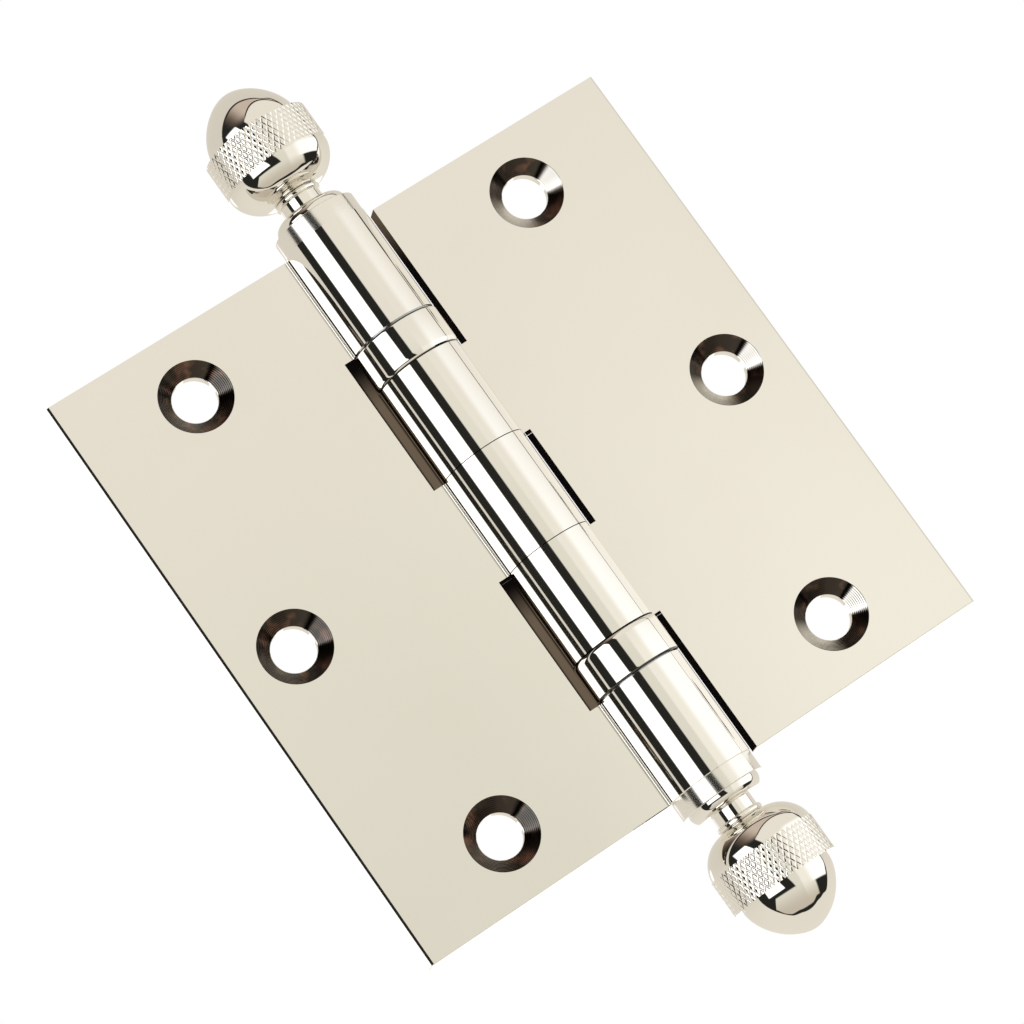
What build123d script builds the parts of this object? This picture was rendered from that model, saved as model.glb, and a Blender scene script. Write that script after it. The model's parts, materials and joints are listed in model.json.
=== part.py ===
from build123d import *
from math import asin, pi
import os

# Ball bearing butt hinge, open flat. The pin stands along Z with its middle at the origin, the jamb leaf
# lies at -X, the door leaf at +X, and the countersunk fronts of both leaves face -Y.

# Leaves, in millimetres
open_width = 88.9
leaf_height = 88.9
leaf_thickness = 3.0
closed_gap = 1.6
edge_round = 0.35

# Screw holes, three in a zigzag on each leaf, placed from the leaf's outer edges
hole_inset = 9.15
zigzag = 8.3
screw_hole_d = 6.3
countersink_d = 10.2
countersink_angle = 96

# Barrel and knuckles
barrel_d = 12.6
middle_knuckle_length = 15.1
door_knuckle_length = 14.75
knuckle_gap = 0.12
leaf_to_bearing = 1.4
front_web_fillet = 0.3
back_web_fillet = 1.2

# Pin, with a threaded stud at each end
pin_d = 6.35
pin_clearance = 0.05
pin_setback = 0.15
stud_d = 4.0
stud_length = 6.2
thread_clearance = 0.05

# Ball bearings, one above and one below the door knuckles
bearing_height = 6.05
cup_proud = 0.2
cup_wall = 0.4
cup_floor = 1.5
cup_corner = 0.55
cup_rim_gap = 0.22
race_clearance = 0.15
ball_d = 2.5
ball_clearance = 0.04

# Acorn finials, heights measured along the pin and radii from its axis
collar_inset = 0.1
collar_height = 2.75
ring_inset = 0.8
ring_height = 1.6
ring_taper = 1.2
neck_wall = 0.95
neck_height = 1.75
bead_proud = 0.4
bead_height = 0.9
bowl_height = 4.35
bowl_swell = 1.9
band_r = 7.9
band_height = 5.3
band_step = 0.15
nut_inset = 1.15
nut_height = 7.2
nut_shoulder = 3.5
nut_point = 3.0
bowl_steps = 3
nut_steps = 5

# Radii and levels that several pieces share; the lower half is the mirror image of the upper
barrel_r = barrel_d / 2
pin_r = pin_d / 2
bore_r = pin_r + pin_clearance
half_width = open_width / 2
half_height = leaf_height / 2
front_y = closed_gap / 2
back_y = front_y + leaf_thickness
middle_seam = middle_knuckle_length / 2
cup_seat = middle_seam + door_knuckle_length
bearing_top = cup_seat + bearing_height
cup_outer_r = barrel_r + cup_proud
cup_inner_r = cup_outer_r - cup_wall
slot_reach = cup_outer_r + leaf_to_bearing

os.makedirs("parts", exist_ok=True)


def leaf_section(side):
    """The plate and barrel of one leaf in one face, as the brass bar is extruded."""
    Circle(barrel_r)
    with Locations((side * half_width / 2, (front_y + back_y) / 2)):
        Rectangle(half_width, leaf_thickness)


def web_corner(section, side, level):
    """The inner corner where the plate's face at this level runs into the barrel."""
    return section.vertices().sort_by_distance((side * (barrel_r**2 - level**2) ** 0.5, level))[0]


def cut_gap(side, low, high):
    """Mill away the barrel and the plate's inner edge between two levels, for the other leaf's knuckle."""
    width = slot_reach + half_width
    with Locations((side * (slot_reach - width / 2), 0, (low + high) / 2)):
        Box(width, half_width, high - low, mode=Mode.SUBTRACT)


def screw_holes(side):
    """The three countersunk holes of one leaf, drilled from its front."""
    middle_reach = half_width - hole_inset
    outer_reach = middle_reach - zigzag
    outer_level = half_height - hole_inset
    with Locations(Plane.XZ.offset(-front_y)):
        with Locations((side * outer_reach, outer_level), (side * middle_reach, 0), (side * outer_reach, -outer_level)):
            CounterSinkHole(screw_hole_d / 2, countersink_d / 2, counter_sink_angle=countersink_angle)


def stepped(curve, steps):
    """Points along a curve, for a turned form cut in short straight steps, which keeps its facets few."""
    return [curve @ (step / steps) for step in range(steps + 1)]


# Jamb leaf: an extruded brass bar with its two end knuckles and its middle knuckle left standing
with BuildPart() as jamb_leaf:
    with BuildSketch(Plane.XY.offset(-half_height)) as jamb_section:
        leaf_section(-1)
        fillet(web_corner(jamb_section, -1, front_y), front_web_fillet)
        fillet(web_corner(jamb_section, -1, back_y), back_web_fillet)
        fillet(jamb_section.vertices().group_by(Axis.X)[0], edge_round)
    extrude(amount=leaf_height)
    Hole(bore_r)
    cut_gap(-1, middle_seam - knuckle_gap / 2, bearing_top)
    cut_gap(-1, -bearing_top, knuckle_gap / 2 - middle_seam)
    screw_holes(-1)
jamb_leaf.part.label = "jamb_leaf"
export_step(jamb_leaf.part, "parts/jamb_leaf.step")

# Door leaf: the same bar with the two knuckles that stand between the jamb leaf's three
with BuildPart() as door_leaf:
    with BuildSketch(Plane.XY.offset(-half_height)) as door_section:
        leaf_section(1)
        fillet(web_corner(door_section, 1, front_y), front_web_fillet)
        fillet(web_corner(door_section, 1, back_y), back_web_fillet)
        fillet(door_section.vertices().group_by(Axis.X)[-1], edge_round)
    extrude(amount=leaf_height)
    Hole(bore_r)
    cut_gap(1, cup_seat, leaf_height)
    cut_gap(1, -middle_seam - knuckle_gap / 2, middle_seam + knuckle_gap / 2)
    cut_gap(1, -leaf_height, -cup_seat)
    screw_holes(1)
door_leaf.part.label = "door_leaf"
export_step(door_leaf.part, "parts/door_leaf.step")

# Hinge pin: a steel rod, turned down at both ends to the studs that the finials screw on to
stud_r = stud_d / 2
pin_shoulder = half_height - pin_setback
stud_end = pin_shoulder + stud_length
with BuildPart() as hinge_pin:
    with BuildSketch(Plane.XZ):
        with BuildLine():
            Polyline(
                (0, -stud_end),
                (stud_r, -stud_end),
                (stud_r, -pin_shoulder),
                (pin_r, -pin_shoulder),
                (pin_r, pin_shoulder),
                (stud_r, pin_shoulder),
                (stud_r, stud_end),
                (0, stud_end),
                close=True,
            )
        make_face()
    revolve(axis=Axis.Z)
hinge_pin.part.label = "hinge_pin"
export_step(hinge_pin.part, "parts/hinge_pin.step")

# Acorn finials, a like pair: a collar and ring, a beaded neck, a bowl under a wide band, and a pointed nut
tapped_r = stud_r + thread_clearance
hole_end = stud_end + pin_setback
collar_r = barrel_r - collar_inset
ring_r = collar_r - ring_inset
neck_r = tapped_r + neck_wall
bowl_edge_r = band_r - band_step
nut_r = band_r - nut_inset
ring_level = half_height + collar_height
neck_level = ring_level + ring_height
bead_level = neck_level + neck_height
bowl_level = bead_level + bead_height
band_level = bowl_level + bowl_height
nut_level = band_level + band_height
tip_level = nut_level + nut_height
bowl_curve = Bezier(
    (neck_r, bowl_level),
    (bowl_edge_r - bowl_swell, bowl_level),
    (bowl_edge_r, band_level - bowl_swell),
    (bowl_edge_r, band_level),
)
nut_curve = Bezier(
    (nut_r, nut_level),
    (nut_r, nut_level + nut_shoulder),
    (nut_point, tip_level),
    (0, tip_level),
)
with BuildPart() as acorn_finials:
    with BuildSketch(Plane.XZ):
        with BuildLine():
            Polyline(
                (0, hole_end),
                (tapped_r, hole_end),
                (tapped_r, half_height),
                (collar_r, half_height),
                (collar_r, ring_level),
                (ring_r, ring_level),
                (ring_r - ring_taper, neck_level),
                (neck_r, neck_level),
                (neck_r, bead_level),
                (neck_r + bead_proud, bead_level + bead_height / 2),
                *stepped(bowl_curve, bowl_steps),
                (band_r, band_level),
                (band_r, nut_level),
                *stepped(nut_curve, nut_steps),
                close=True,
            )
        make_face()
    revolve(axis=Axis.Z)
    mirror(about=Plane.XY)
acorn_finials.part.label = "acorn_finials"
export_step(acorn_finials.part, "parts/acorn_finials.step")

# Bearing cups: turned steel, closed towards the door knuckle, with a floor that the balls run on
race_inner_r = bore_r + race_clearance
floor_level = cup_seat + cup_floor
rim_level = bearing_top - cup_rim_gap
with BuildPart() as upper_cup:
    with BuildSketch(Plane.XZ):
        with BuildLine():
            Polyline(
                (race_inner_r, cup_seat),
                (cup_outer_r - cup_corner, cup_seat),
                (cup_outer_r, cup_seat + cup_corner),
                (cup_outer_r, rim_level),
                (cup_inner_r, rim_level),
                (cup_inner_r, floor_level),
                (race_inner_r, floor_level),
                close=True,
            )
        make_face()
    revolve(axis=Axis.Z)

# Races: hardened steel rings that bear on the jamb leaf's end knuckles and close the cups
ball_r = ball_d / 2
ball_level = floor_level + ball_clearance + ball_r
race_level = ball_level + ball_r + ball_clearance
with BuildPart() as upper_race:
    with BuildSketch(Plane.XY.offset(race_level)):
        Circle(cup_inner_r - race_clearance)
        Circle(race_inner_r, mode=Mode.SUBTRACT)
    extrude(amount=bearing_top - race_level)

# The lower bearing is the upper one turned over
for name, piece in (("bearing_cup", upper_cup.part), ("bearing_race", upper_race.part)):
    piece.label = f"upper_{name}"
    export_step(piece, f"parts/upper_{name}.step")
    with BuildPart() as turned_over:
        mirror(piece, about=Plane.XY)
    turned_over.part.label = f"lower_{name}"
    export_step(turned_over.part, f"parts/lower_{name}.step")

# Steel balls, as many as fill the cup; a chamfered cube whose corners lie on the ball's surface keeps each
# of these hidden, repeated pieces to a few flat facets
ball_circle_r = cup_inner_r - ball_r - ball_clearance
ball_count = int(pi / asin((ball_r + ball_clearance) / ball_circle_r))
facet_ratio = 2**0.5 - 1
facet_half = ball_r / (1 + 2 * facet_ratio**2) ** 0.5
for end, level in (("upper", ball_level), ("lower", -ball_level)):
    for number in range(ball_count):
        with BuildPart() as ball:
            with Locations(Vector(ball_circle_r, 0, level).rotate(Axis.Z, number * 360 / ball_count)):
                Box(2 * facet_half, 2 * facet_half, 2 * facet_half)
            chamfer(ball.edges(), facet_half * (1 - facet_ratio))
        ball.part.label = f"{end}_ball_{number + 1}"
        export_step(ball.part, f"parts/{end}_ball_{number + 1}.step")
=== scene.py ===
import json
from math import pi, radians, tan

import bmesh
import bpy
import numpy as np
from mathutils import Matrix, Vector


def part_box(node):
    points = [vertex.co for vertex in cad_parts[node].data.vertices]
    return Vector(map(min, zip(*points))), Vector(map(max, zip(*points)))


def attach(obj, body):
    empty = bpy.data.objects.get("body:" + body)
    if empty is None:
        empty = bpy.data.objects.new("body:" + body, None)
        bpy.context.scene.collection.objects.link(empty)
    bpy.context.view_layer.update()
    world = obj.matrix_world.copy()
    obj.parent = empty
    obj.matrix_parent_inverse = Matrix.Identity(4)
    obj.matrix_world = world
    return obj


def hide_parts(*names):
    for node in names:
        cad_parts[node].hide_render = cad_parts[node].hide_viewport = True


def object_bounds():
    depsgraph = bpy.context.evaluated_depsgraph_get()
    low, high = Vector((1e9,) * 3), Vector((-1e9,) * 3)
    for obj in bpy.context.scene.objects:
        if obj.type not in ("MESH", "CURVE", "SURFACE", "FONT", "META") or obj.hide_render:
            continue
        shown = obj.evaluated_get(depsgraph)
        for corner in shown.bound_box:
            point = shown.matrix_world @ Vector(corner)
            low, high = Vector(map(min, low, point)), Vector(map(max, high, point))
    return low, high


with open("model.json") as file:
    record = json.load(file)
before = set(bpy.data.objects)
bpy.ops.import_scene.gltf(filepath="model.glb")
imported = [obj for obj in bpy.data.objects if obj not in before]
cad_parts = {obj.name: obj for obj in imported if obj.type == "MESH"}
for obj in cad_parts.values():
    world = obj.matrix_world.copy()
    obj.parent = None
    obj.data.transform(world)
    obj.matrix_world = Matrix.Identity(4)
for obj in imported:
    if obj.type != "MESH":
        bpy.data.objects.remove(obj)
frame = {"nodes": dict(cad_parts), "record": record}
cad_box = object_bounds()

# Leaves
# Two plates of extruded brass, milled to interleaved knuckles, drilled and countersunk for flat-head
# screws, then buffed and plated with polished nickel. The countersinks keep their turning marks; their
# colour is painted shade, dark with coppery patches, but for two walls kept at the plain nickel colour,
# where highlights fall.
mm = 0.001
nickel_cream = (0.870, 0.845, 0.790, 1.0)
nickel_shade = (0.855, 0.828, 0.768, 1.0)
nickel_polish = 0.03
nickel_haze = 0.03
drift_scale = 38.0
dull_drift = (0.42, 0.78)
line_scale = 9000.0
line_stretch = (1.0, 1.0, 0.06)
# The countersinks' colours are painted shade: dark, with coppery patches
sink_painted_shade = (0.060, 0.050, 0.042, 1.0)
sink_shade_copper = (0.230, 0.130, 0.095, 1.0)
copper_scale = 420.0
copper_patch = (0.48, 0.72)
sink_haze = 0.06
sink_rim_r = 5.1 * mm
screw_hole_r = 3.2 * mm
sink_floor_y = 3.0 * mm
sink_ring = 0.22 * mm
sink_ring_depth = 0.004 * mm
# Ways to the two countersink walls that keep the plain nickel colour, where highlights fall
right_highlight_way = (1.0, 0.0, -0.04)
left_highlight_way = (-0.88, 0.0, -0.47)
right_highlight_edge = (0.90, 0.97)
left_highlight_edge = (0.55, 1.0)
front_y = 0.8 * mm
back_y = 3.8 * mm
edge_round = 0.35 * mm
edge_flat_share = 0.85
end_break = 0.12 * mm
lower_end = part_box("jamb_leaf")[0].z
weld = 0.001 * mm
plane_slack = 0.01 * mm
flat_cosine = 0.9999
join_within = radians(0.5)
plate_crease = radians(25)


def add(tree, kind, sockets=(), **settings):
    """A node of this kind, with its settings, and each given input socket linked to an output or set."""
    node = tree.nodes.new(kind)
    for key, value in settings.items():
        setattr(node, key, value)
    for key, value in dict(sockets).items():
        if isinstance(value, bpy.types.NodeSocket):
            tree.links.new(value, node.inputs[key])
        else:
            node.inputs[key].default_value = value
    return node


def maths(tree, operation, first, second=0.0):
    """One arithmetic step on two values or outputs."""
    return add(tree, "ShaderNodeMath", {0: first, 1: second}, operation=operation).outputs[0]


def vector_maths(tree, operation, first, second=(0.0, 0.0, 0.0)):
    """One step on two vectors, which gives a vector, or a number for a length or a dot product."""
    node = add(tree, "ShaderNodeVectorMath", {0: first, 1: second}, operation=operation)
    return node.outputs["Value" if operation in ("LENGTH", "DOT_PRODUCT") else "Vector"]


def noise(tree, place, scale, detail):
    """A noise pattern from 0 to 1, of this scale."""
    sockets = {"Vector": place, "Scale": scale, "Detail": detail}
    return add(tree, "ShaderNodeTexNoise", sockets).outputs[0]


def ramp(tree, value, low, high):
    """0 below low, 1 above high, and a smooth rise between them."""
    sockets = {"Value": value, "From Min": low, "From Max": high}
    return add(tree, "ShaderNodeMapRange", sockets, interpolation_type="SMOOTHSTEP").outputs[0]


def both(tree, first, *others):
    """The product of several masks."""
    for other in others:
        first = maths(tree, "MULTIPLY", first, other)
    return first


def blended(tree, share, first, second):
    """The first colour where share is 0, the second where it is 1."""
    mix = add(tree, "ShaderNodeMix", {0: share, 6: first, 7: second}, data_type="RGBA")
    return mix.outputs[2]


def effect(name, inputs, outputs):
    """An empty shader node group with named sockets, given as name: (kind, default)."""
    group = bpy.data.node_groups.new(name, "ShaderNodeTree")
    for socket, (kind, default) in inputs.items():
        made = group.interface.new_socket(socket, in_out="INPUT", socket_type=kind)
        if default is not None:
            made.default_value = default
    for socket, kind in outputs.items():
        group.interface.new_socket(socket, in_out="OUTPUT", socket_type=kind)
    return group, add(group, "NodeGroupInput").outputs, add(group, "NodeGroupOutput").inputs


# Buffing: slow drifts of colour and haze left by the polishing wheel, with fine lines along its path
buffing, given, put_out = effect(
    "buffing",
    {
        "Vector": ("NodeSocketVector", None),
        "Bright": ("NodeSocketColor", nickel_cream),
        "Dull": ("NodeSocketColor", nickel_shade),
        "Polish": ("NodeSocketFloat", nickel_polish),
        "Haze": ("NodeSocketFloat", nickel_haze),
    },
    {"Color": "NodeSocketColor", "Roughness": "NodeSocketFloat", "Height": "NodeSocketFloat"},
)
dullness = ramp(buffing, noise(buffing, given["Vector"], drift_scale, 3.0), *dull_drift)
buffing.links.new(blended(buffing, dullness, given["Bright"], given["Dull"]), put_out["Color"])
hazy = maths(buffing, "MULTIPLY", dullness, given["Haze"])
buffing.links.new(maths(buffing, "ADD", hazy, given["Polish"]), put_out["Roughness"])
stretched = {"Vector": given["Vector"], "Scale": line_stretch}
along_wheel = add(buffing, "ShaderNodeMapping", stretched).outputs[0]
buffing.links.new(noise(buffing, along_wheel, line_scale, 2.0), put_out["Height"])


def finish(name):
    """A new metal with its tree, its Principled shader and the object coordinates that its patterns read."""
    material = bpy.data.materials.new(name)
    material.use_nodes = True
    tree = material.node_tree
    shader = tree.nodes["Principled BSDF"]
    shader.inputs["Metallic"].default_value = 1.0
    return material, tree, shader, add(tree, "ShaderNodeTexCoord").outputs["Object"]


def dimple(tree, shader, height):
    """Bend the shader's normal by a height in metres."""
    sockets = {"Height": height, "Strength": 1.0, "Distance": 1.0}
    tree.links.new(add(tree, "ShaderNodeBump", sockets).outputs[0], shader.inputs["Normal"])


def plated_leaf(name, centres, highlight_share):
    """Polished nickel with a broken lower edge. The countersinks round these centres have turning rings and
    are painted dark as shade, with coppery patches, but for two walls which keep the plain nickel colour,
    where highlights fall, by this share."""
    material, tree, shader, place = finish(name)
    polish = add(tree, "ShaderNodeGroup", {"Vector": place}, node_tree=buffing)
    parts = add(tree, "ShaderNodeSeparateXYZ", {0: place}).outputs
    flat = vector_maths(tree, "MULTIPLY", place, (1.0, 0.0, 1.0))
    reach = 1.0
    right_wall = 0.0
    left_wall = 0.0
    for centre in centres:
        offset = vector_maths(tree, "SUBTRACT", flat, centre)
        away = vector_maths(tree, "LENGTH", offset)
        way = vector_maths(tree, "NORMALIZE", offset)
        here = maths(tree, "LESS_THAN", away, sink_rim_r)
        to_right = vector_maths(tree, "DOT_PRODUCT", way, right_highlight_way)
        to_left = vector_maths(tree, "DOT_PRODUCT", way, left_highlight_way)
        reach = maths(tree, "MINIMUM", away, reach)
        right_wall = maths(tree, "MAXIMUM", maths(tree, "MULTIPLY", to_right, here), right_wall)
        left_wall = maths(tree, "MAXIMUM", maths(tree, "MULTIPLY", to_left, here), left_wall)
    within_rim = maths(tree, "LESS_THAN", reach, sink_rim_r)
    outside_hole = maths(tree, "GREATER_THAN", reach, screw_hole_r)
    in_sink = both(tree, within_rim, outside_hole, maths(tree, "LESS_THAN", parts["Y"], sink_floor_y))
    patches = ramp(tree, noise(tree, place, copper_scale, 2.0), *copper_patch)
    # The countersink is painted dark as shade; two walls keep the plain nickel colour for the highlights
    turned = blended(tree, patches, sink_painted_shade, sink_shade_copper)
    right_lit = ramp(tree, right_wall, *right_highlight_edge)
    left_lit = ramp(tree, left_wall, *left_highlight_edge)
    highlighted = maths(tree, "MULTIPLY", maths(tree, "ADD", right_lit, left_lit), highlight_share)
    turned = blended(tree, highlighted, turned, nickel_cream)
    tree.links.new(blended(tree, in_sink, polish.outputs["Color"], turned), shader.inputs["Base Color"])
    rough = maths(tree, "ADD", polish.outputs["Roughness"], maths(tree, "MULTIPLY", in_sink, sink_haze))
    tree.links.new(rough, shader.inputs["Roughness"])
    rings = maths(tree, "SINE", maths(tree, "MULTIPLY", reach, 2 * pi / sink_ring))
    grooves = maths(tree, "MULTIPLY", both(tree, in_sink, rings), sink_ring_depth)
    broken = maths(tree, "MAXIMUM", maths(tree, "SUBTRACT", lower_end + end_break, parts["Z"]), 0.0)
    dimple(tree, shader, maths(tree, "SUBTRACT", grooves, broken))
    return material


def hole_centres(side):
    """The three screw holes of one leaf on the plane y = 0, from the record's mounts."""
    mounts = {mount["name"]: mount for mount in frame["record"]["mounts"]}
    pair = mounts[f"{side}_outer_screw_holes"]
    single = mounts[f"{side}_middle_screw_hole"]
    half = pair["dims"]["spacing_y_mm"] / 2 * mm
    across = pair["pos_m"][0]
    return [(across, 0.0, half), (across, 0.0, -half), (single["pos_m"][0], 0.0, 0.0)]


def flatten(points, centre, first, last, corner, share):
    """Put the points of a round between two ends, about a centre in x and y, on its chord: with m the way
    from the centre to the chord and h its distance, p becomes q = c + (p - c) h / ((p - c) . m). The chord is
    then moved towards the corner k that the round was cut from: k + (q - k) share."""
    centre, first, last, corner = (np.array(p) for p in (centre, first, last, corner))
    middle = (first + last) / 2 - centre
    height = np.linalg.norm(middle)
    radius = np.linalg.norm(first - centre)
    spoke = points[:, :2] - centre
    toward = spoke @ middle / height
    at_radius = np.abs(np.linalg.norm(spoke, axis=1) - radius) < 0.02 * radius
    on_round = at_radius & (toward > 0.999 * height)
    on_chord = centre + spoke[on_round] * (height / toward[on_round])[:, None]
    points[on_round, :2] = corner + (on_chord - corner) * share


def broken_copy(name, node):
    """A copy of a leaf's mesh with flats on its rounded edges, its loose triangles joined and the plate's two
    faces shaded flat, so that the mirror finish shows no facets."""
    mesh = frame["nodes"][node].data.copy()
    piece = bpy.data.objects.new(name, mesh)
    bpy.context.scene.collection.objects.link(piece)
    low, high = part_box(node)
    way = 1.0 if high.x > -low.x else -1.0
    edge_x = max(high.x, -low.x)
    points = np.empty(3 * len(mesh.vertices))
    mesh.vertices.foreach_get("co", points)
    points = points.reshape(-1, 3)
    inner_x = way * (edge_x - edge_round)
    outer_x = way * edge_x
    for level, turned in ((front_y, edge_round), (back_y, -edge_round)):
        centre = (inner_x, level + turned)
        ends = ((inner_x, level), (outer_x, level + turned))
        flatten(points, centre, *ends, (outer_x, level), edge_flat_share)
    mesh.vertices.foreach_set("co", points.ravel())
    shape = bmesh.new()
    shape.from_mesh(mesh)
    bmesh.ops.remove_doubles(shape, verts=shape.verts, dist=weld)
    bmesh.ops.dissolve_limit(shape, angle_limit=join_within, verts=shape.verts, edges=shape.edges)
    shape.to_mesh(mesh)
    shape.free()
    if "custom_normal" in mesh.attributes:
        mesh.attributes.remove(mesh.attributes["custom_normal"])
    mesh.set_sharp_from_angle(angle=plate_crease)
    middles = np.empty(3 * len(mesh.polygons))
    normals = np.empty(3 * len(mesh.polygons))
    mesh.polygons.foreach_get("center", middles)
    mesh.polygons.foreach_get("normal", normals)
    off_plane = np.minimum(np.abs(middles[1::3] - front_y), np.abs(middles[1::3] - back_y))
    rounded = (off_plane > plane_slack) | (np.abs(normals[1::3]) < flat_cosine)
    mesh.polygons.foreach_set("use_smooth", rounded)
    return piece


# Each leaf's share of countersink walls left pale, set for where highlights fall
for side, sink_highlight_share in (("jamb", 0.12), ("door", 0.85)):
    leaf = broken_copy(f"{side}_leaf_plated", f"{side}_leaf")
    leaf.data.materials.clear()
    leaf.data.materials.append(plated_leaf(f"{side}_leaf_nickel", hole_centres(side), sink_highlight_share))
    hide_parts(f"{side}_leaf")
    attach(leaf, f"{side}_side")

# Pin
# A ground steel rod in the bores of all five knuckles, with a stud at each end for the finials. It shows
# only when the hinge is taken apart, so the CAD solid stays and gets a ground finish.
steel_grey = (0.46, 0.46, 0.47, 1.0)
steel_dark = (0.36, 0.36, 0.37, 1.0)
steel_polish = 0.18
steel_haze = 0.15
grinding_depth = 0.001 * mm
ground_steel, steel_tree, steel_shader, steel_place = finish("ground_steel")
grind = add(
    steel_tree,
    "ShaderNodeGroup",
    {
        "Vector": steel_place,
        "Bright": steel_grey,
        "Dull": steel_dark,
        "Polish": steel_polish,
        "Haze": steel_haze,
    },
    node_tree=buffing,
)
steel_tree.links.new(grind.outputs["Color"], steel_shader.inputs["Base Color"])
steel_tree.links.new(grind.outputs["Roughness"], steel_shader.inputs["Roughness"])
dimple(steel_tree, steel_shader, maths(steel_tree, "MULTIPLY", grind.outputs["Height"], grinding_depth))


def ground(node):
    """Give a CAD solid that stays in view the ground finish."""
    frame["nodes"][node].data.materials.clear()
    frame["nodes"][node].data.materials.append(ground_steel)


ground("hinge_pin")

# Bearing races
# Hardened steel rings that bear on the jamb leaf's end knuckles and close the cups. They are out of sight
# too, so the CAD solids stay, ground like the pin.
for end in ("upper", "lower"):
    ground(f"{end}_bearing_race")

# Bearing balls
# A full ring of hardened steel balls in each cup. The CAD solids are chamfered cubes with their corners on
# the ball, so round balls of that radius stand for them.
ball_r = 1.25 * mm
ball_rows = 12


def grid_mesh(name, points, wrap_rows=False):
    """A mesh on a grid of points, rows by columns by (x, y, z). Each row closes on itself, and the rows close
    too if asked."""
    rows, columns = points.shape[:2]
    row = np.arange(rows if wrap_rows else rows - 1)[:, None]
    column = np.arange(columns)[None, :]
    here = row * columns
    nearby = (row + 1) % rows * columns
    beside = (column + 1) % columns
    corners = [here + column, here + beside, nearby + beside, nearby + column]
    faces = np.stack(corners, axis=-1).reshape(-1, 4)
    mesh = bpy.data.meshes.new(name)
    mesh.from_pydata(points.reshape(-1, 3), [], faces)
    shape = bmesh.new()
    shape.from_mesh(mesh)
    bmesh.ops.remove_doubles(shape, verts=shape.verts, dist=1e-7)
    bmesh.ops.recalc_face_normals(shape, faces=shape.faces)
    shape.to_mesh(mesh)
    shape.free()
    mesh.shade_smooth()
    piece = bpy.data.objects.new(name, mesh)
    bpy.context.scene.collection.objects.link(piece)
    return piece


def turned_grid(radii, heights, around):
    """A profile carried round the pin, one row for each of its points: x = r cos a, y = r sin a, z = h."""
    angle = np.linspace(0.0, 2 * pi, around, endpoint=False)
    radii, heights = np.broadcast_arrays(np.atleast_2d(radii).T, np.atleast_2d(heights).T)
    return np.stack([radii * np.cos(angle), radii * np.sin(angle), heights + 0 * angle], axis=-1)


for body in ("upper_balls", "lower_balls"):
    for node in frame["record"]["behaviour"]["bodies"][body]:
        low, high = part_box(node)
        latitude = np.linspace(-pi / 2, pi / 2, ball_rows)
        points = turned_grid(ball_r * np.cos(latitude), ball_r * np.sin(latitude), 2 * ball_rows)
        ball = grid_mesh(f"{node}_round", points + np.array((low + high) / 2))
        ball.data.materials.append(ground_steel)
        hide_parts(node)
        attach(ball, body)

# Bearing cups
# Turned steel shells, closed and rounded towards the door leaf's knuckle and open towards the jamb leaf's,
# plated like the leaves. Each stands slightly proud of the barrel.
cup_wall = 0.4 * mm
cup_floor = 1.5 * mm
cup_reach = 0.55 * mm
cup_rise = 0.95 * mm
rim_reach = 0.30 * mm
rim_rise = 0.40 * mm
cup_bore_r = 3.375 * mm
cup_steps = 12
turned_sides = 128
turned_crease = radians(35)
seam = 0.25 * mm
# The bands at the cups' ends are painted dark as shade, for the gaps beside the knuckles
seam_shade = 0.9
seam_haze = 0.1
seam_shade_black = (0.035, 0.030, 0.025, 1.0)


def quarter(centre, reach, rise, start, steps):
    """Points on a quarter ellipse: centre + (reach cos t, rise sin t), t from start through a right angle."""
    t = np.linspace(start, start + pi / 2, steps)
    return np.stack([centre[0] + reach * np.cos(t), centre[1] + rise * np.sin(t)], axis=-1)


def turned_nickel(name, levels, dark, rough):
    """Polished nickel with bands round the pin, each (from, to) in height above or below the middle, which
    are painted dark as shade or left duller by the given shares."""
    material, tree, shader, place = finish(name)
    shine = add(tree, "ShaderNodeGroup", {"Vector": place}, node_tree=buffing)
    height = maths(tree, "ABSOLUTE", add(tree, "ShaderNodeSeparateXYZ", {0: place}).outputs["Z"])
    band = 0.0
    for start, stop in levels:
        above = maths(tree, "GREATER_THAN", height, start)
        within = maths(tree, "MULTIPLY", above, maths(tree, "LESS_THAN", height, stop))
        band = maths(tree, "MAXIMUM", within, band)
    # Painted shade in the bands
    seam_shaded = blended(tree, maths(tree, "MULTIPLY", band, dark), shine.outputs["Color"], seam_shade_black)
    tree.links.new(seam_shaded, shader.inputs["Base Color"])
    duller = maths(tree, "ADD", shine.outputs["Roughness"], maths(tree, "MULTIPLY", band, rough))
    tree.links.new(duller, shader.inputs["Roughness"])
    return material


def plated(piece, material, replaced, body):
    """Give a turned piece its plating and its place on a body."""
    piece.data.set_sharp_from_angle(angle=turned_crease)
    piece.data.materials.append(material)
    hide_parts(replaced)
    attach(piece, body)


low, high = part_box("upper_bearing_cup")
cup_seams = [(low.z - mm, low.z + seam), (high.z - seam, high.z + mm)]
cup_nickel = turned_nickel("cup_nickel", cup_seams, seam_shade, seam_haze)
for end in ("upper", "lower"):
    low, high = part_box(f"{end}_bearing_cup")
    outer_r = high.x
    closed, rim = (low.z, high.z) if end == "upper" else (high.z, low.z)
    way = 1.0 if rim > closed else -1.0
    tall = abs(rim - closed)
    profile = np.concatenate(
        [
            [(cup_bore_r, 0.0)],
            quarter((outer_r - cup_reach, cup_rise), cup_reach, cup_rise, -pi / 2, cup_steps),
            quarter((outer_r - rim_reach, tall - rim_rise), rim_reach, rim_rise, 0.0, cup_steps),
            [(outer_r - cup_wall, tall), (outer_r - cup_wall, cup_floor), (cup_bore_r, cup_floor)],
        ]
    )
    points = turned_grid(profile[:, 0], closed + way * profile[:, 1], turned_sides)
    cup = grid_mesh(f"{end}_bearing_cup_plated", points, wrap_rows=True)
    plated(cup, cup_nickel, f"{end}_bearing_cup", "door_side")

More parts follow.
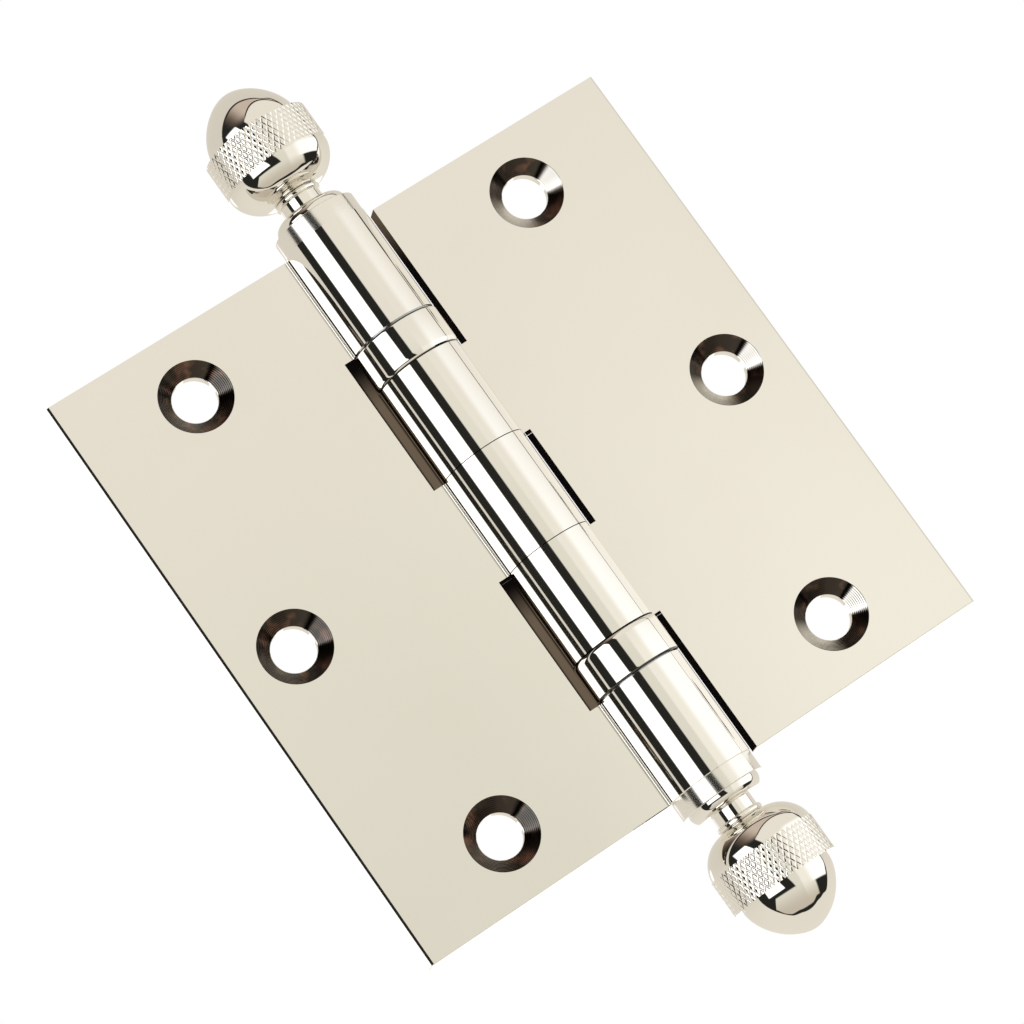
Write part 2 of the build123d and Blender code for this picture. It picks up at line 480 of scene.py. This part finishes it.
# Acorn finials
# Turned brass tips, screwed on to the pin's studs: a collar and ring, a beaded neck, a bowl under a wide
# knurled band, and a pointed nut. Plated like the leaves, with a knurl of crossed helical grooves.
collar_r, collar_height = 6.2 * mm, 2.75 * mm
ring_r, ring_top_r, ring_height = 5.4 * mm, 4.2 * mm, 1.6 * mm
neck_r, neck_height = 3.0 * mm, 1.75 * mm
bead_r, bead_height = 3.4 * mm, 0.9 * mm
bowl_r, bowl_height, bowl_swell = 7.75 * mm, 4.35 * mm, 1.9 * mm
band_r, band_height = 7.9 * mm, 5.3 * mm
nut_r, nut_height, nut_shoulder, nut_point = 6.75 * mm, 7.2 * mm, 3.5 * mm, 3.0 * mm
turned_edge = 0.15 * mm
neck_flare = 0.35 * mm
ring_shoulder = 0.6
edge_steps, ring_steps, flare_steps, bead_steps, bowl_steps, nut_steps = 6, 16, 12, 17, 32, 40
collar_haze = 0.13
knurl_depth = 0.08 * mm
knurl_starts = 58
knurl_lean = radians(30)
knurl_land = 0.55
knurl_samples = 12


def bezier(p0, p1, p2, p3, steps):
    """Points on a cubic Bezier curve: the sum of its four points weighted by Bernstein polynomials."""
    t = np.linspace(0.0, 1.0, steps)[:, None]
    p0, p1, p2, p3 = (np.array(p) for p in (p0, p1, p2, p3))
    return (1 - t) ** 3 * p0 + 3 * t * (1 - t) ** 2 * p1 + 3 * t**2 * (1 - t) * p2 + t**3 * p3


def triangle_wave(turns):
    """A zigzag of period 1 between 0 at whole turns and 1 half-way."""
    return 1 - np.abs(2 * (turns % 1.0) - 1)


knuckle_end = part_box("jamb_leaf")[1].z
ring_h = collar_height
neck_h = ring_h + ring_height
bead_h = neck_h + neck_height
bowl_h = bead_h + bead_height
band_h = bowl_h + bowl_height
nut_h = band_h + band_height
tip_h = nut_h + nut_height
core_r = band_r - 2 * knurl_depth

# The turned profile from the collar to the tip, as (r, h) above the knuckle's end
collar_edge = quarter(
    (collar_r - turned_edge, ring_h - turned_edge), turned_edge, turned_edge, 0.0, edge_steps
)
ring_mid_r = 0.5 * (ring_r + ring_top_r)
ring_mid_h = ring_h + ring_shoulder * ring_height
ring = bezier((ring_r, ring_h), (ring_r, ring_mid_h), (ring_mid_r, neck_h), (ring_top_r, neck_h), ring_steps)
neck_foot = (neck_r, neck_h)
flare_out, flare_up = (neck_r + neck_flare, neck_h), (neck_r, neck_h + neck_flare)
flare = bezier(flare_out, neck_foot, neck_foot, flare_up, flare_steps)
bead_turn = np.linspace(0.0, pi, bead_steps)
bead_radii = neck_r + (bead_r - neck_r) * np.sin(bead_turn)
bead = np.stack([bead_radii, bead_h + bead_height * (1 - np.cos(bead_turn)) / 2], axis=-1)
bowl_in, bowl_out = (bowl_r - bowl_swell, bowl_h), (bowl_r, band_h - bowl_swell)
bowl = bezier((neck_r, bowl_h), bowl_in, bowl_out, (bowl_r, band_h), bowl_steps)
nut = bezier((nut_r, nut_h), (nut_r, nut_h + nut_shoulder), (nut_point, tip_h), (0.0, tip_h), nut_steps)
base = [(0.0, 0.0), (collar_r, 0.0)]
core = [(core_r, band_h), (core_r, nut_h)]
finial_profile = np.concatenate([base, collar_edge, ring, flare, bead, bowl, core, nut])

# The knurl's radius over angle and height: r = band_r - depth (1 - min(1, c / (1 - land))), where c is the
# lower of two zigzags that lean to either side
around = knurl_starts * knurl_samples
pitch = 2 * pi * band_r / knurl_starts
knurl_rows = round(band_height / pitch * knurl_samples) + 1
angle = np.linspace(0.0, 2 * pi, around, endpoint=False)[None, :]
rise = np.linspace(0.0, band_height, knurl_rows)[:, None]
turn = angle / (2 * pi) * knurl_starts
lean = rise * tan(knurl_lean) / pitch
crossed = np.minimum(triangle_wave(turn + lean), triangle_wave(turn - lean))
band_radii = band_r - knurl_depth * (1 - np.minimum(1.0, crossed / (1 - knurl_land)))
band_x = band_radii * np.cos(angle)
band_y = band_radii * np.sin(angle)

collar_band = [(knuckle_end, knuckle_end + collar_height)]
finial_nickel = turned_nickel("finial_nickel", collar_band, 0.0, collar_haze)
for end, way in (("upper", 1.0), ("lower", -1.0)):
    points = turned_grid(finial_profile[:, 0], way * (knuckle_end + finial_profile[:, 1]), turned_sides)
    finial = grid_mesh(f"{end}_finial", points)
    plated(finial, finial_nickel, "acorn_finials", "jamb_side")
    band_z = way * (knuckle_end + band_h + rise) + 0 * angle
    skin = np.stack([band_x, band_y, band_z], axis=-1)
    core_heights = way * (knuckle_end + np.array([nut_h, band_h]))
    inner = turned_grid(np.array([core_r, core_r]), core_heights, around)
    knurl = grid_mesh(f"{end}_finial_knurl", np.concatenate([skin, inner]), wrap_rows=True)
    plated(knurl, finial_nickel, "acorn_finials", "jamb_side")

# Studio
# A pale floor below the hinge and a plain white surround. In the metal, the surround shows a big cream
# ceiling, a bright window on each side, the dark gaps beside them and the pale table that the hinge lay over.
floor_drop = 0.055
floor_reach = 1.5
floor_white = (0.95, 0.95, 0.94, 1.0)
floor_roughness = 0.9


def card(name, corners, material):
    """Flat stage cards, each with four corners, counter-clockwise from its front."""
    mesh = bpy.data.meshes.new(name)
    mesh.from_pydata(corners, [], np.arange(len(corners)).reshape(-1, 4))
    mesh.materials.append(material)
    piece = bpy.data.objects.new(name, mesh)
    bpy.context.scene.collection.objects.link(piece)
    return piece


floor_paint, _, paint_shader, _ = finish("floor_paint")
paint_shader.inputs["Metallic"].default_value = 0.0
paint_shader.inputs["Roughness"].default_value = floor_roughness
paint_shader.inputs["Base Color"].default_value = floor_white
floor_level = cad_box[0].z - floor_drop
floor_plan = [(-1, -1), (1, -1), (1, 1), (-1, 1)]
floor_corners = [(x * floor_reach, y * floor_reach, floor_level) for x, y in floor_plan]
floor = card("floor", floor_corners, floor_paint)
floor.visible_glossy = False

# Shade: what the leaves' slots show close behind the hinge, where it shaded its table. It is black at the
# top and along both borders of each left-hand slot, and brown in between
shade_brown = (0.140, 0.104, 0.070, 1.0)
shade_black = (0.004, 0.003, 0.003, 1.0)
slot_top = 28.3 * mm
slot_period = 35.8 * mm
slot_back = 4.0 * mm
slot_fade = (0.5 * mm, 7.0 * mm)
left_border = (-7.0 * mm, -6.6 * mm)
right_border = (5.4 * mm, 5.8 * mm)
upper_fade = (36.0 * mm, 47.0 * mm)
left_slot_x = (-8.6 * mm, -4.6 * mm)
left_slots = [(-28.8 * mm, -7.0 * mm), (7.0 * mm, 28.8 * mm)]
right_slot_x = (5.5 * mm, 7.9 * mm)
right_slots = [(-44.4 * mm, -22.3 * mm), (-7.6 * mm, 7.6 * mm), (22.3 * mm, 46.5 * mm)]

shade, shade_tree, shade_shader, shade_place = finish("shade")
shade_tree.nodes.remove(shade_shader)
shade_parts = add(shade_tree, "ShaderNodeSeparateXYZ", {0: shade_place}).outputs
from_top = maths(shade_tree, "SUBTRACT", slot_top, shade_parts["Z"])
below_top = ramp(shade_tree, maths(shade_tree, "MODULO", from_top, slot_period), *slot_fade)
off_left = ramp(shade_tree, shade_parts["X"], *left_border)
off_right = ramp(shade_tree, maths(shade_tree, "MULTIPLY", shade_parts["X"], -1.0), *right_border)
on_right = maths(shade_tree, "GREATER_THAN", shade_parts["X"], 0.0)
upper_end = both(shade_tree, on_right, ramp(shade_tree, shade_parts["Z"], *upper_fade))
paler = maths(shade_tree, "MAXIMUM", both(shade_tree, below_top, off_left, off_right), upper_end)
shade_colour = blended(shade_tree, paler, shade_black, shade_brown)
dim = add(shade_tree, "ShaderNodeEmission", {"Color": shade_colour}).outputs[0]
clear = add(shade_tree, "ShaderNodeBsdfTransparent").outputs[0]
behind = add(shade_tree, "ShaderNodeNewGeometry").outputs["Backfacing"]
shown = add(shade_tree, "ShaderNodeMixShader", {0: behind, 1: dim, 2: clear}).outputs[0]
shade_tree.links.new(shown, shade_tree.nodes["Material Output"].inputs["Surface"])


def upright(across, levels, y):
    """The corners of upright cards that face the camera's side, -Y, one for each (from, to) in height."""
    x0, x1 = across
    return [corner for z0, z1 in levels for corner in ((x0, y, z0), (x1, y, z0), (x1, y, z1), (x0, y, z1))]


left_shade = card("left_slot_shade", upright(left_slot_x, left_slots, slot_back), shade)
right_shade = card("right_slot_shade", upright(right_slot_x, right_slots, slot_back), shade)
right_shade.visible_camera = False
for item in (left_shade, right_shade):
    item.visible_diffuse = False
    item.visible_shadow = False

# The surround is laid out flat, like a map seen from below: tilt is the angle from straight above the leaves,
# and east and north are its shares along +X and +Z, all in degrees
world = bpy.data.worlds.new("studio")
bpy.context.scene.world = world
world.use_nodes = True
tree = world.node_tree
tree.nodes.clear()
toward = add(tree, "ShaderNodeTexCoord").outputs["Generated"]
toward_parts = add(tree, "ShaderNodeSeparateXYZ", {0: toward}).outputs
above = maths(tree, "MULTIPLY", toward_parts["Y"], -1.0)
tilt = maths(tree, "DEGREES", maths(tree, "ARCCOSINE", above))
level_share = maths(tree, "SQRT", maths(tree, "SUBTRACT", 1.000001, maths(tree, "MULTIPLY", above, above)))
spread = maths(tree, "DIVIDE", tilt, level_share)
east = maths(tree, "MULTIPLY", toward_parts["X"], spread)
north = maths(tree, "MULTIPLY", toward_parts["Z"], spread)


def fall(tree, value, low, high):
    """1 below low, 0 above high."""
    return maths(tree, "SUBTRACT", 1.0, ramp(tree, value, low, high))


# Room: black on the left, and brown to tan along the far side
room_black = (0.020, 0.020, 0.018, 1.0)
room_brown = (0.165, 0.120, 0.095, 1.0)
room_tan = (0.640, 0.530, 0.450, 1.0)
far_side = blended(tree, ramp(tree, east, -50.0, -20.0), room_black, room_brown)
far_side = blended(tree, ramp(tree, east, -32.0, 5.0), far_side, room_tan)
seen = blended(tree, ramp(tree, north, 32.0, 58.0), room_black, far_side)

# Ceiling: cream, with an arched far edge that has a thin dark border, and duller towards the near side. Its
# left edge slants, and the right-hand window lights its right side
ceiling_cream = (0.905, 0.868, 0.785, 1.0)
ceiling_low_left = (0.820, 0.800, 0.710, 1.0)
ceiling_low_right = (1.010, 0.980, 0.900, 1.0)
ceiling_south = (0.620, 0.560, 0.470, 1.0)
right_window = (1.26, 1.26, 1.26, 1.0)
arch_east = 40.0
arch_north = 67.0
arch_bend = 0.0108
ceiling_slant = 0.2
from_middle = maths(tree, "SUBTRACT", east, arch_east)
arch = maths(tree, "MULTIPLY", maths(tree, "MULTIPLY", from_middle, from_middle), arch_bend)
past_arch = maths(tree, "ADD", maths(tree, "SUBTRACT", north, arch_north), arch)
slanted = maths(tree, "ADD", east, maths(tree, "MULTIPLY", north, ceiling_slant))
near_side = both(tree, fall(tree, north, -31.0, -27.0), ramp(tree, east, -70.0, -64.0))
in_ceiling = maths(tree, "MAXIMUM", ramp(tree, slanted, -7.5, -4.5), near_side)
in_ceiling = both(tree, in_ceiling, fall(tree, past_arch, -1.0, 1.0))
low_ceiling = blended(tree, ramp(tree, east, 13.3, 19.6), ceiling_low_left, ceiling_low_right)
ceiling = blended(tree, fall(tree, north, 4.6, 14.8), ceiling_cream, low_ceiling)
ceiling = blended(tree, fall(tree, north, -70.0, -25.0), ceiling, ceiling_south)
right_lit = both(
    tree,
    ramp(tree, east, 32.0, 52.0),
    fall(tree, north, 4.0, 24.0),
    ramp(tree, north, -40.0, -36.0),
)
ceiling = blended(tree, right_lit, ceiling, right_window)
below_right = both(tree, ramp(tree, east, 46.0, 52.0), fall(tree, north, -41.0, -37.0))
ceiling = blended(tree, below_right, ceiling, room_black)
seen = blended(tree, in_ceiling, seen, ceiling)
border = both(
    tree,
    ramp(tree, past_arch, -2.0, -1.0),
    fall(tree, past_arch, 1.5, 2.5),
    ramp(tree, slanted, -4.0, 10.0),
)
seen = blended(tree, border, seen, room_black)

# Left-hand window, with the ceiling's slant on its right edge
left_window = (1.90, 1.90, 1.90, 1.0)
left_lit = both(
    tree,
    ramp(tree, east, -69.0, -65.0),
    fall(tree, slanted, -28.5, -25.5),
    ramp(tree, north, -20.0, -16.0),
    fall(tree, north, 38.0, 45.0),
)
seen = blended(tree, left_lit, seen, left_window)

# Skyline: a thin, uneven dark line round the table, wider on the near side
horizon = 90.0
near_lift = 6.0
right_drop = 10.0
line_unevenness = 7.0
near_width = 4.0
near_line = both(
    tree,
    fall(tree, north, -60.0, -40.0),
    ramp(tree, east, -40.0, -10.0),
    fall(tree, east, 35.0, 60.0),
)
dropped = maths(tree, "ADD", maths(tree, "MULTIPLY", ramp(tree, east, 55.0, 80.0), right_drop), horizon)
table_edge = maths(tree, "SUBTRACT", dropped, maths(tree, "MULTIPLY", near_line, near_lift))
uneven = maths(tree, "MULTIPLY", noise(tree, toward, 2.2, 1.0), line_unevenness)
line_width = maths(tree, "ADD", uneven, maths(tree, "MULTIPLY", near_line, near_width))
past_edge = maths(tree, "SUBTRACT", tilt, table_edge)
past_line = maths(tree, "ADD", past_edge, line_width)
seen = blended(tree, ramp(tree, past_line, -1.0, 1.0), seen, room_black)

# Table: pale, and white in the two patches that the leaves' end faces show
table_cream = (0.860, 0.815, 0.730, 1.0)
table_dull = (0.740, 0.700, 0.625, 1.0)
table_white = (1.250, 1.250, 1.240, 1.0)
table_patches = ((0.278, 0.9465, -0.163), (-0.278, 0.9465, 0.163))
patch_edge = (0.988, 0.994)
table = blended(tree, ramp(tree, toward_parts["Z"], -0.6, 0.6), table_cream, table_dull)
for lit in table_patches:
    facing = vector_maths(tree, "DOT_PRODUCT", toward, lit)
    table = blended(tree, ramp(tree, facing, *patch_edge), table, table_white)
seen = blended(tree, ramp(tree, past_edge, -0.5, 0.5), seen, table)

# Metal sees the room; the camera and everything else see white
white = (1.0, 1.0, 1.0, 1.0)
rays = add(tree, "ShaderNodeLightPath").outputs
surround = blended(tree, rays["Is Glossy Ray"], white, seen)
light = add(tree, "ShaderNodeBackground", {"Color": surround, "Strength": 1.0}).outputs[0]
add(tree, "ShaderNodeOutputWorld", {"Surface": light})

# Camera, at the place that was fitted to the photo
camera_at = Vector((-0.158350, -0.534642, -0.092674))
camera_looks = Vector((0.278474, 0.946527, 0.162905))
camera_up = Vector((0.518680, -0.290963, 0.803935))
camera = bpy.data.cameras.new("camera")
camera.lens = 150.47
camera.sensor_width = 36.0
camera.clip_start = 0.01
camera_object = bpy.data.objects.new("camera", camera)
bpy.context.scene.collection.objects.link(camera_object)
camera_right = camera_looks.cross(camera_up).normalized()
turn_to = Matrix((camera_right, camera_up, -camera_looks)).transposed()
camera_object.matrix_world = Matrix.Translation(camera_at) @ turn_to.to_4x4()
bpy.context.scene.camera = camera_object
bpy.context.scene.view_settings.view_transform = "Standard"
